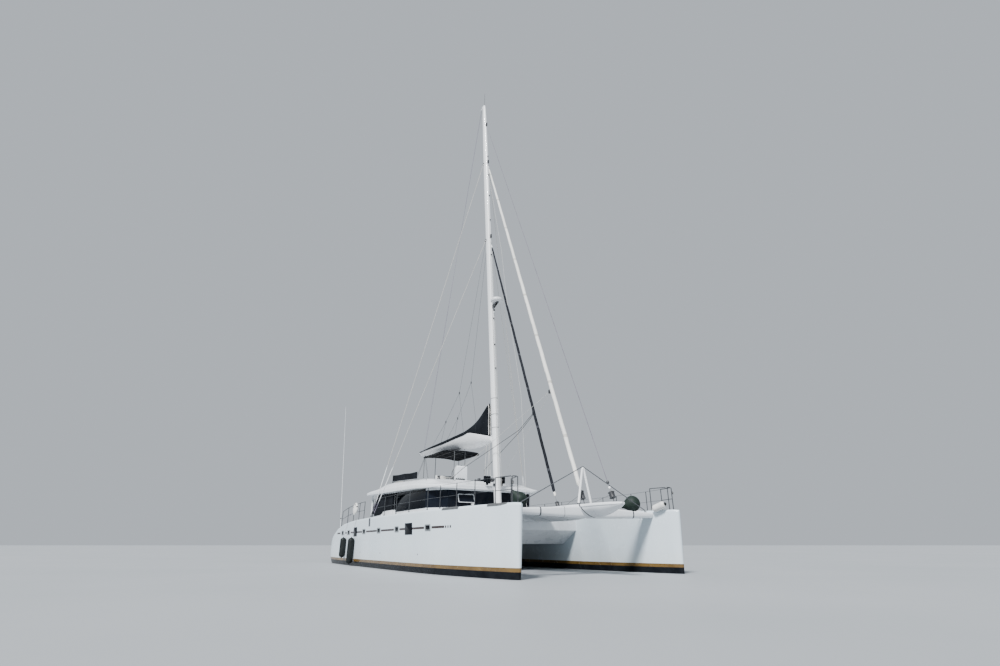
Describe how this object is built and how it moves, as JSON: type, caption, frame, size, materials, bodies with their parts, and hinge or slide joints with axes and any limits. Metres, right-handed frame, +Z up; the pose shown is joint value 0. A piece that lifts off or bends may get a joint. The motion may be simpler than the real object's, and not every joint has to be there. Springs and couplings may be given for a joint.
{
  "type": "cruising sailing catamaran",
  "caption": "Full-size two-hulled sailing yacht afloat: raked mast and boom, furled headsails, glazed saloon, flybridge with canopy, steering gear and propellers.",
  "frame": {"origin": "on the water plane, on the centre plane, amidships: the middle of the 18.9 m between stern and stems", "axes": "+X to the bow, +Y to port, +Z up along the height, which is the longest extent"},
  "size_m": [19.615, 9.2203, 30.6402],
  "materials": {
    "gelcoat": "gloss",
    "antifouling": "matte",
    "stainless": "satin",
    "bronze": "satin",
    "netting": "matte",
    "glazing": "gloss",
    "dark_cloth": "matte",
    "white_cloth": "matte",
    "white_paint": "gloss",
    "seat_cloth": "matte",
    "wood": "satin",
    "dark_vinyl": "matte",
    "white_vinyl": "satin"
  },
  "bodies": {
    "boat": {"hull_starboard": "gelcoat", "keel_starboard": "antifouling", "shaft_starboard": "stainless", "trampoline_starboard": "netting", "saloon_wall_starboard": "gelcoat", "saloon_glass_starboard": "glazing", "fly_dodger_starboard": "dark_cloth", "shrouds_starboard": "stainless", "guard_rail_starboard": "stainless", "pushpit_starboard": "stainless", "cockpit_curtain_starboard": "dark_cloth", "hull_port": "gelcoat", "keel_port": "antifouling", "shaft_port": "stainless", "trampoline_port": "netting", "saloon_wall_port": "gelcoat", "saloon_glass_port": "glazing", "fly_dodger_port": "dark_cloth", "shrouds_port": "stainless", "guard_rail_port": "stainless", "pushpit_port": "stainless", "cockpit_curtain_port": "dark_cloth", "bridgedeck": "gelcoat", "crossbeam": "gelcoat", "longeron": "gelcoat", "striker_frame": "white_paint", "striker_stay": "stainless", "saloon_wall_front": "gelcoat", "saloon_wall_aft": "gelcoat", "saloon_glass_front": "glazing", "saloon_settee": "seat_cloth", "coachroof": "gelcoat", "helm_console": "gelcoat", "helm_seat": "gelcoat", "fly_settee": "seat_cloth", "canopy_frame": "stainless", "canopy": "dark_cloth", "mast": "white_paint", "radar": "gelcoat", "genoa_furled": "white_cloth", "staysail_furled": "dark_cloth", "gennaker_stay": "stainless", "cockpit_settee": "seat_cloth", "cockpit_table": "wood", "fender_aft": "dark_vinyl", "fender_forward": "dark_vinyl", "fender_bow": "white_vinyl", "lifebuoy": "white_vinyl", "whip_aerial": "white_vinyl"},
    "boom": {"boom": "white_paint", "sail_cover": "dark_cloth"},
    "wheel": {"helm_wheel": "stainless"},
    "rudder_blade_starboard": {"rudder_starboard": "antifouling"},
    "rudder_blade_port": {"rudder_port": "antifouling"},
    "screw_starboard": {"propeller_starboard": "bronze"},
    "screw_port": {"propeller_port": "bronze"},
    "door": {"saloon_door": "glazing"},
    "lid_starboard": {"locker_lid_starboard": "gelcoat"},
    "lid_port": {"locker_lid_port": "gelcoat"}
  },
  "joints": [
    {"name": "boom_swing", "type": "hinge", "parent": "boat", "child": "boom", "pos_m": [1.6619, 0, 5.64], "axis": [0, 0, 1], "range_deg": [-42, 42]},
    {"name": "rudder_turn_starboard", "type": "hinge", "parent": "boat", "child": "rudder_blade_starboard", "pos_m": [-8, -3.42, -0.6], "axis": [0, 0, 1], "range_deg": [-35, 35]},
    {"name": "rudder_turn_port", "type": "hinge", "parent": "boat", "child": "rudder_blade_port", "pos_m": [-8, 3.42, -0.6], "axis": [0, 0, 1], "range_deg": [-35, 35]},
    {"name": "wheel_turn", "type": "hinge", "parent": "boat", "child": "wheel", "pos_m": [-1.61, -0.16, 4.33], "axis": [1, 0, 0], "range_deg": [-540, 540]},
    {"name": "screw_spin_starboard", "type": "hinge", "parent": "boat", "child": "screw_starboard", "pos_m": [-6.9, -3.42, -0.96], "axis": [-0.9896, 0, -0.1439], "continuous": true},
    {"name": "screw_spin_port", "type": "hinge", "parent": "boat", "child": "screw_port", "pos_m": [-6.9, 3.42, -0.96], "axis": [-0.9896, 0, -0.1439], "continuous": true},
    {"name": "door_slide", "type": "slide", "parent": "boat", "child": "door", "axis": [0, 1, 0], "range_m": [0, 1.38]},
    {"name": "lid_hinge_starboard", "type": "hinge", "parent": "boat", "child": "lid_starboard", "pos_m": [2.976, -1.25, 2.152], "axis": [0, -1, 0], "range_deg": [0, 95]},
    {"name": "lid_hinge_port", "type": "hinge", "parent": "boat", "child": "lid_port", "pos_m": [2.976, 1.25, 2.152], "axis": [0, -1, 0], "range_deg": [0, 95]}
  ],
  "couplings": [
    {"joint": "rudder_turn_port", "follows": "rudder_turn_starboard", "ratio": 1},
    {"joint": "wheel_turn", "follows": "rudder_turn_starboard", "ratio": 15.4}
  ]
}
